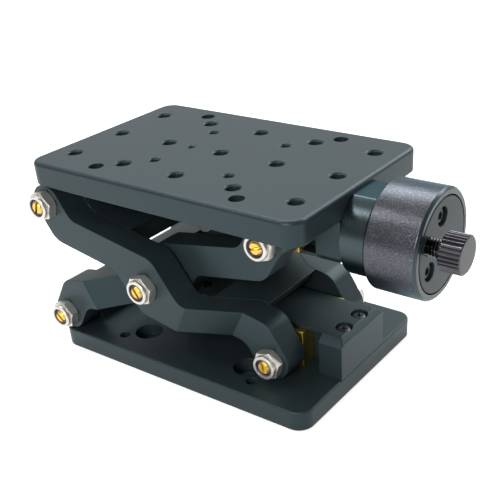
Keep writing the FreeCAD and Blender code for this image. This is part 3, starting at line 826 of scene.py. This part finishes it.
def lock_nut():
    """A self-locking nut about Z, its round collar's top at zero."""
    size = sizes()
    corner = (NUT_HIGH.z - NUT_LOW.z) / math.sqrt(3)
    total = size.nut_hexagon + size.nut_collar
    shoulder = -size.nut_collar
    nut = prism_tool(6, corner, -total, shoulder, NUT_TURN)
    clear = corner + 0.1 * MM
    flare = math.tan(CROWN_SLOPE)
    seat = size.nut_crown / 2
    crown = turned("crown", [
        (corner - seat * flare, -total), (clear, -total + seat * 1.1),
        (clear, shoulder - size.nut_crown * 0.55), (corner - size.nut_crown * flare * 0.62, shoulder)], 64)
    boolean(nut, crown, "INTERSECT")
    neck = size.collar_radius - 0.35 * MM
    collar = turned("collar", [
        (neck, shoulder - 0.3 * MM), (neck, shoulder + 0.22 * MM),
        (size.collar_radius - 0.1 * MM, shoulder + 0.34 * MM), (size.collar_radius, shoulder + 0.5 * MM),
        *rounded_rim(size.collar_radius, 0.0, size.collar_edge)], 64)
    boolean(nut, collar, "UNION")
    boolean(nut, prism_tool(48, RING_INNER + 0.02 * MM, -total - CUT_PAST, CUT_PAST), "DIFFERENCE")
    boolean(nut, prism_tool(48, size.nut_lip, -RING_FLOOR - 0.1 * MM, CUT_PAST), "DIFFERENCE")
    break_edges(nut, size.nut_edge, degrees=25.0)
    return nut


class STAGE_OT_pivot_nuts(bpy.types.Operator):
    """Model a self-locking nut and set one at each end of every pivot"""

    bl_idname = "stage.pivot_nuts"
    bl_label = "Pivot nuts"

    def execute(self, context):
        nut = lock_nut()
        for pivot in PIVOTS:
            node = pivot + "_nuts"
            piece = set_out(nut, node + "_finished", pivot_ends(node))
            dress(piece, "nickel_plate", node)
        remove_piece(nut)
        return {"FINISHED"}


class STAGE_OT_locking_rings(bpy.types.Operator):
    """Model the nylon ring that each nut's collar holds"""

    bl_idname = "stage.locking_rings"
    bl_label = "Locking rings"

    def execute(self, context):
        outer = sizes().nut_lip
        ring = turned("ring", [
            (RING_INNER, -RING_FLOOR), (outer, -RING_FLOOR), (outer, -0.5 * MM),
            (outer - 0.08 * MM, -0.36 * MM), (RING_INNER - 0.42 * MM, -0.28 * MM),
            (RING_INNER - 0.5 * MM, -0.42 * MM), (RING_INNER, -0.98 * MM),
            (RING_INNER, -RING_FLOOR)], 48, capped=False)
        smooth(ring, degrees=50.0)
        for pivot in PIVOTS:
            node = pivot + "_nut_inserts"
            piece = set_out(ring, node + "_finished", pivot_ends(node))
            dress(piece, "nylon", node)
        remove_piece(ring)
        return {"FINISHED"}


class STAGE_OT_stud_ends(bpy.types.Operator):
    """Chamfer the ends of the pivots' studs"""

    bl_idname = "stage.stud_ends"
    bl_label = "Stud ends"

    def execute(self, context):
        face = sizes().stud_face
        slope = sizes().stud_slope
        spare = 0.1 * MM
        for pivot in PIVOTS:
            node = pivot + "_studs"
            piece = finished_copy(node)
            for placement in pivot_ends(node):
                tool = turned("chamfer", [
                    (face, 0.0), (face + slope, -slope), (face + slope, spare), (face - spare, spare),
                    (face, 0.0)], 48, capped=False)
                tool.data.transform(placement)
                boolean(piece, tool, "DIFFERENCE")
            smooth(piece)
            dress(piece, "machined_brass", node)
        return {"FINISHED"}


def grid_places():
    """The M6 grid: five columns of three."""
    middle = (TOP_LOW + TOP_HIGH) / 2
    pitch = sizes().grid_pitch
    return [(middle.x + column * pitch, middle.y + row * pitch)
            for column in range(-2, 3) for row in range(-1, 2)]


def square_places(pitch):
    """The corners of a square about the platform's middle."""
    return [(side * pitch / 2, end * pitch / 2) for side in (-1, 1) for end in (-1, 1)]


# Where the platform's threads end, below its top and above its underside
THREAD_TOP = 0.75 * MM
THREAD_FOOT = 0.4 * MM

# Depth to which a thread's ridge stands in its wall or core, so that it holds together with it
RIDGE_ROOT = 0.05 * MM
HOLE_RIDGE_ROOT = 0.03 * MM

# Gap between a thread's end and the shoulder or chamfer next to it
THREAD_CLEAR = 0.2 * MM


class STAGE_OT_tapped_holes(bpy.types.Operator):
    """Cut the threads of the platform's holes"""

    bl_idname = "stage.tapped_holes"
    bl_label = "Tapped holes"

    def execute(self, context):
        size = sizes()
        rows = (("grid_threads", size.grid_drill / 2, size.coarse_pitch, grid_places()),
                ("square_threads", size.square_drill / 2, size.small_pitch, square_places(size.square_pitch)))
        for name, wall, pitch, places in rows:
            depth = size.thread_depth * pitch / size.coarse_pitch
            ridge = helix(wall + HOLE_RIDGE_ROOT, wall - depth, pitch, TOP_LOW.z + THREAD_FOOT,
                          TOP_HIGH.z - THREAD_TOP, segments=20)
            smooth(ridge)
            piece = set_out(ridge, name, [Matrix.Translation((x, y, 0)) for x, y in places])
            remove_piece(ridge)
            dress(piece, "satin_anodised", body="platform", slot=slot_of("top_plate"))
        return {"FINISHED"}


# Depth of a flute at each sixth of its width, as a share of the whole depth
FLUTE_PROFILE = (0.0, 0.3, 0.86, 1.0, 0.86, 0.3)

# Chamfer at both ends of the lock screw's head
HEAD_EDGE = 0.55 * MM

# Height of the lock screw's thread form, as a share of the pitch
THREAD_FORM = 0.61


def fluted_head():
    """The lock screw's head about Z, its end face at zero."""
    size = sizes()
    radius = (LOCK_HIGH.z - LOCK_LOW.z) / 2
    points = len(FLUTE_PROFILE)
    head = prism_tool(size.head_flutes * points, radius, -size.lock_head, 0.0)
    step = 2 * math.pi / (size.head_flutes * points)
    for phase, depth in enumerate(FLUTE_PROFILE):
        edit_where(head, lambda place: round(math.atan2(place.y, place.x) / step) % points == phase)
        share = 1 - depth * size.flute_depth / radius
        bpy.ops.transform.resize(value=(share, share, 1), center_override=(0, 0, 0))
        stop_editing()
    clear = radius + 0.05 * MM
    crown = turned("crown", [
        (radius - HEAD_EDGE, -size.lock_head), (clear, -size.lock_head + HEAD_EDGE * 1.05),
        (clear, -HEAD_EDGE * 0.75), (radius - HEAD_EDGE, 0.0)], 96)
    boolean(head, crown, "INTERSECT")
    return head


class STAGE_OT_lock_screw(bpy.types.Operator):
    """Model the thumb screw, with its thread and fluted head"""

    bl_idname = "stage.lock_screw"
    bl_label = "Lock screw"

    def execute(self, context):
        size = sizes()
        total = LOCK_HIGH.x - LOCK_LOW.x
        head = fluted_head()
        core = size.lock_stud - THREAD_FORM * size.coarse_pitch
        tip = 0.5 * MM
        stud = turned("stud", [
            (core - tip, -total), (core, -total + tip), (core, -size.lock_head + 0.1 * MM)], SCREW_SIDES)
        ridge = helix(core - RIDGE_ROOT, size.lock_stud, size.coarse_pitch, -total + tip + THREAD_CLEAR,
                      -size.lock_head - THREAD_CLEAR, segments=32, base=0.9, top=0.14)
        for part in (head, stud, ridge):
            smooth(part, degrees=35.0)
        piece = join([head, stud, ridge], "lock_screw_finished")
        piece.data.transform(facing((1, 0, 0), (LOCK_HIGH.x, LOCK_AXIS.y, LOCK_AXIS.z)))
        dress(piece, "black_gloss", "lock_screw")
        return {"FINISHED"}


# Screws in the knob's disc, and the turn of the first of them
DISC_SCREWS = 3
DISC_SCREW_TURN = math.radians(95)


def disc_screw_places():
    """Places (y, z) of the screws on their circle in the knob's disc."""
    ring = sizes().disc_screw_circle / 2
    places = []
    for index in range(DISC_SCREWS):
        turn = DISC_SCREW_TURN + 2 * math.pi * index / DISC_SCREWS
        places.append((SCREW_AXIS.y + ring * math.cos(turn), SCREW_AXIS.z + ring * math.sin(turn)))
    return places


def housing_screw_places():
    """Places (y, z) of the screws in the corners of the housing's flange."""
    head = sizes().small_head
    low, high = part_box("housing_screws")
    return [(y, z) for y in (low.y + head, high.y - head) for z in (low.z + head, high.z - head)]


class STAGE_OT_cap_screws(bpy.types.Operator):
    """Model the socket head screws of the disc, the housing and the hinge blocks"""

    bl_idname = "stage.cap_screws"
    bl_label = "Socket head screws"

    def execute(self, context):
        size = sizes()
        sets = {"disc_screws": disc_screw_places(), "housing_screws": housing_screw_places()}
        for node, places in sets.items():
            low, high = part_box(node)
            screw = cap_screw(size.small_head, size.small_shank, high.x - low.x, **M3_SOCKET)
            placements = [facing((1, 0, 0), (high.x, y, z)) for y, z in places]
            piece = set_out(screw, node + "_finished", placements)
            remove_piece(screw)
            dress(piece, "black_oxide", node)
        for node, up in (("lower_hinge_screws", 1), ("upper_hinge_screws", -1)):
            low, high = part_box(node)
            screw = cap_screw(size.large_head, size.large_shank, high.z - low.z, **M4_SOCKET)
            x = (low.x + high.x) / 2
            z = high.z if up > 0 else low.z
            placements = [facing((0, 0, up), (x, y, z))
                          for y in (low.y + size.large_head, high.y - size.large_head)]
            piece = set_out(screw, node + "_finished", placements)
            remove_piece(screw)
            dress(piece, "black_oxide", node)
        return {"FINISHED"}


# Cross-recess screws: height of the head, then span, slot, heart, depth and turn of the cross
PAN_HEIGHT = 1.9 * MM
CROSS_SPAN = 3.2 * MM
CROSS_SLOT = 0.62 * MM
CROSS_HEART = 1.5 * MM
CROSS_DEPTH = 1.2 * MM
CROSS_TURN = math.radians(28)


def cross_screw(head, shank, reach):
    """Cross-recess screw about Z, its domed head's top at zero; head and shank are radii."""
    tip = 0.2 * MM
    screw = turned("screw", [
        (shank - tip, -reach), (shank, -reach + tip), (shank, -PAN_HEIGHT), (head, -PAN_HEIGHT),
        (head, -0.75 * MM), (head - 0.16 * MM, -0.4 * MM), (head - 0.55 * MM, -0.12 * MM),
        (head - 1.2 * MM, 0.0)], SCREW_SIDES)
    for width, depth, turn in ((CROSS_SPAN, CROSS_SLOT, 0), (CROSS_SLOT, CROSS_SPAN, 0),
                               (CROSS_HEART, CROSS_HEART, 45)):
        tool = block_tool(width, depth, 2 * CROSS_DEPTH)
        tool.data.transform(Matrix.Rotation(math.radians(turn), 4, "Z"))
        boolean(screw, tool, "DIFFERENCE")
    screw.data.transform(Matrix.Rotation(CROSS_TURN, 4, "Z"))
    smooth(screw)
    return screw


class STAGE_OT_cross_screws(bpy.types.Operator):
    """Model the cross-recess screws that hold the slideways"""

    bl_idname = "stage.cross_screws"
    bl_label = "Cross-recess screws"

    def execute(self, context):
        head = sizes().small_head
        for node, up in (("lower_guide_screws", 1), ("upper_guide_screws", -1)):
            low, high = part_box(node)
            screw = cross_screw(head, sizes().small_shank, high.z - low.z)
            z = high.z if up > 0 else low.z
            placements = [facing((0, 0, up), (x, y, z)) for x in (low.x + head, high.x - head)
                          for y in (low.y + head, high.y - head)]
            piece = set_out(screw, node + "_finished", placements)
            remove_piece(screw)
            dress(piece, "black_oxide", node)
        return {"FINISHED"}


class STAGE_OT_lead_screw(bpy.types.Operator):
    """Cut the lead screw's thread"""

    bl_idname = "stage.lead_screw"
    bl_label = "Lead screw"

    def execute(self, context):
        size = sizes()
        radius = (SCREW_HIGH.z - SCREW_LOW.z) / 2
        total = SCREW_HIGH.x - SCREW_LOW.x
        root = radius - size.lead_depth
        start = size.journal_length
        end = HOUSING_LOW.x - SCREW_LOW.x
        tip, foot = 0.3 * MM, 0.4 * MM
        core = turned("core", [
            (size.journal_radius - tip, 0.0), (size.journal_radius, tip), (size.journal_radius, start),
            (root, start + foot), (root, end), (radius, end), (radius, total - foot),
            (radius - foot, total)], 48)
        ridge = helix(root - RIDGE_ROOT, radius, size.lead, start + tip + THREAD_CLEAR, end - THREAD_CLEAR,
                      segments=32, base=0.66, top=0.34)
        for part in (core, ridge):
            smooth(part)
        piece = join([core, ridge], "lead_screw_finished")
        piece.data.transform(facing((1, 0, 0), (SCREW_LOW.x, SCREW_AXIS.y, SCREW_AXIS.z)))
        dress(piece, "ground_steel", "lead_screw")
        return {"FINISHED"}


class STAGE_OT_studio(bpy.types.Operator):
    """Set the floor, the lamps and the camera"""

    bl_idname = "stage.studio"
    bl_label = "Studio"

    def execute(self, context):
        floor()
        lamps()
        surroundings()
        camera()
        return {"FINISHED"}


# Camera, fitted to the grid of holes and the pivots
CAMERA_PLACE = Vector((0.19093, -0.22540, 0.18116))
CAMERA_AZIMUTH = 37.25
CAMERA_ELEVATION = 32.06
CAMERA_ROLL = -3.61
FOCAL_PIXELS = 834.8
IMAGE_PIXELS = 500
PRINCIPAL_PIXEL = (275.2, 341.4)
SENSOR_MM = 36.0


def camera():
    data = bpy.data.cameras.new("camera")
    data.sensor_width = SENSOR_MM
    data.lens = SENSOR_MM * FOCAL_PIXELS / IMAGE_PIXELS
    data.shift_x = 0.5 - PRINCIPAL_PIXEL[0] / IMAGE_PIXELS
    data.shift_y = PRINCIPAL_PIXEL[1] / IMAGE_PIXELS - 0.5
    data.clip_start = 0.01
    item = bpy.data.objects.new("camera", data)
    bpy.context.scene.collection.objects.link(item)
    turn = (Matrix.Rotation(math.radians(CAMERA_AZIMUTH), 4, "Z")
            @ Matrix.Rotation(math.radians(90 - CAMERA_ELEVATION), 4, "X")
            @ Matrix.Rotation(math.radians(CAMERA_ROLL), 4, "Z"))
    item.matrix_world = Matrix.Translation(CAMERA_PLACE) @ turn
    bpy.context.scene.camera = item


FLOOR_SPAN = 6.0

# What is added to the floor for the camera near the object, how far out that stays so, and the share in gloss
FLOOR_LIFT = 0.60
FLOOR_NEAR = 0.30
FLOOR_GLOSS = 0.40


def floor():
    """Pale floor, brightened in gloss and to the camera, to which it ends in white far away."""
    deselect_all()
    bpy.ops.mesh.primitive_plane_add(size=FLOOR_SPAN, location=(0, 0, CAD_BOX[0][2]))
    item = bpy.context.object
    item.name = "floor"
    finish = Finish("floor")
    cloud = finish.noise(3.0)
    x, y = finish.axes()[:2]
    lift = ((x * x + y * y) ** 0.5 - FLOOR_NEAR).clamped() * (1.0 - FLOOR_LIFT) + FLOOR_LIFT
    shade = colours().floor
    finish.metal(
        base_color=finish.vary(shade, cloud, 0.98, 1.02),
        roughness=0.9,
        specular_ior_level=0.1,
        emission_color=finish.seen_by("Camera") * lift + finish.seen_by("Glossy") * FLOOR_GLOSS,
        emission_strength=1.0,
    )
    item.data.materials.append(finish.material)


# Point at which all lamps are aimed
LAMPS_AIM = Vector((0.03, 0.0, 0.05))


def soft_lamp(name, place, width, depth, power, in_gloss=True):
    data = bpy.data.lights.new(name, "AREA")
    data.shape = "RECTANGLE"
    data.size = width
    data.size_y = depth
    data.energy = power
    item = bpy.data.objects.new(name, data)
    bpy.context.scene.collection.objects.link(item)
    item.location = place
    item.rotation_euler = (LAMPS_AIM - Vector(place)).to_track_quat("-Z", "Y").to_euler()
    item.visible_glossy = in_gloss


def lamps():
    """Five soft lamps; the strip gives the sheen on the knob and the glint the one on the housing."""
    soft_lamp("overhead", (-0.34, 0.12, 0.78), width=0.55, depth=0.36, power=5.0, in_gloss=False)
    soft_lamp("strip", (-0.335, 0.34, 0.715), width=0.50, depth=0.22, power=2.2)
    soft_lamp("behind", (0.25, 0.85, 0.70), width=0.9, depth=0.5, power=6.0)
    soft_lamp("front", (0.20, -0.95, 0.55), width=0.6, depth=0.4, power=7.0)
    soft_lamp("glint", (-0.37, -0.35, 0.66), width=0.15, depth=0.15, power=0.95)


# The world's strength as plain light, and in gloss towards the front and towards the backdrop
AMBIENT = 0.36
HORIZON = 0.16
BACKDROP = 0.64

# Where the backdrop stands, and how nearly a ray must point there for it to begin and to be full
BACKDROP_SIDE = (-0.45, 0.75, 0.48)
BACKDROP_START = -0.15
BACKDROP_FULL = 0.65


def surroundings():
    """White to the camera; in gloss a pale backdrop behind and a dim room in front; plain light else."""
    world = bpy.data.worlds.new("surroundings")
    bpy.context.scene.world = world
    room = Network(world)

    def background(strength):
        return room.output("ShaderNodeBackground", "Background", None, {"Color": WHITE, "Strength": strength})

    def mix(factor, first, second):
        return room.output("ShaderNodeMixShader", "Shader", None, {0: factor, 1: first, 2: second})

    ray = room.output("ShaderNodeTexCoord", "Generated")
    side = room.output("ShaderNodeVectorMath", "Value", {"operation": "DOT_PRODUCT"}, {
        0: ray, 1: BACKDROP_SIDE})
    share = room.output("ShaderNodeMapRange", "Result", {"interpolation_type": "SMOOTHSTEP"}, {
        "Value": side, "From Min": BACKDROP_START, "From Max": BACKDROP_FULL})
    gloss = mix(share, background(HORIZON), background(BACKDROP))
    unseen = mix(room.seen_by("Glossy"), background(AMBIENT), gloss)
    whole = mix(room.seen_by("Camera"), unseen, background(1.0))
    room.node("ShaderNodeOutputWorld", None, {"Surface": whole})


class STAGE_PT_panel(bpy.types.Panel):
    """Lists the sizes, the colours and the steps."""

    bl_idname = "STAGE_PT_panel"
    bl_label = "Lifting stage"
    bl_space_type = "VIEW_3D"
    bl_region_type = "UI"
    bl_category = "Stage"

    def draw(self, context):
        for group in (context.scene.stage_sizes, context.scene.stage_colours):
            for name in group.bl_rna.properties.keys():
                if name not in ("rna_type", "name"):
                    self.layout.prop(group, name)
        for operator in STEPS:
            self.layout.operator(operator.bl_idname)


STEPS = [
    STAGE_OT_metalwork, STAGE_OT_soft_edges, STAGE_OT_pivot_nuts, STAGE_OT_locking_rings, STAGE_OT_stud_ends,
    STAGE_OT_tapped_holes, STAGE_OT_lock_screw, STAGE_OT_cap_screws, STAGE_OT_cross_screws,
    STAGE_OT_lead_screw, STAGE_OT_studio,
]
CLASSES = [StageSizes, StageColours, *STEPS, STAGE_PT_panel]


def register():
    for item in CLASSES:
        bpy.utils.register_class(item)
    bpy.types.Scene.stage_sizes = PointerProperty(type=StageSizes)
    bpy.types.Scene.stage_colours = PointerProperty(type=StageColours)


def unregister():
    del bpy.types.Scene.stage_colours
    del bpy.types.Scene.stage_sizes
    for item in reversed(CLASSES):
        bpy.utils.unregister_class(item)


def main():
    register()
    bpy.context.scene.view_settings.view_transform = "Standard"
    bpy.ops.stage.metalwork()
    bpy.ops.stage.soft_edges()
    bpy.ops.stage.pivot_nuts()
    bpy.ops.stage.locking_rings()
    bpy.ops.stage.stud_ends()
    bpy.ops.stage.tapped_holes()
    bpy.ops.stage.lock_screw()
    bpy.ops.stage.cap_screws()
    bpy.ops.stage.cross_screws()
    bpy.ops.stage.lead_screw()
    bpy.ops.stage.studio()


if __name__ == "__main__":
    main()
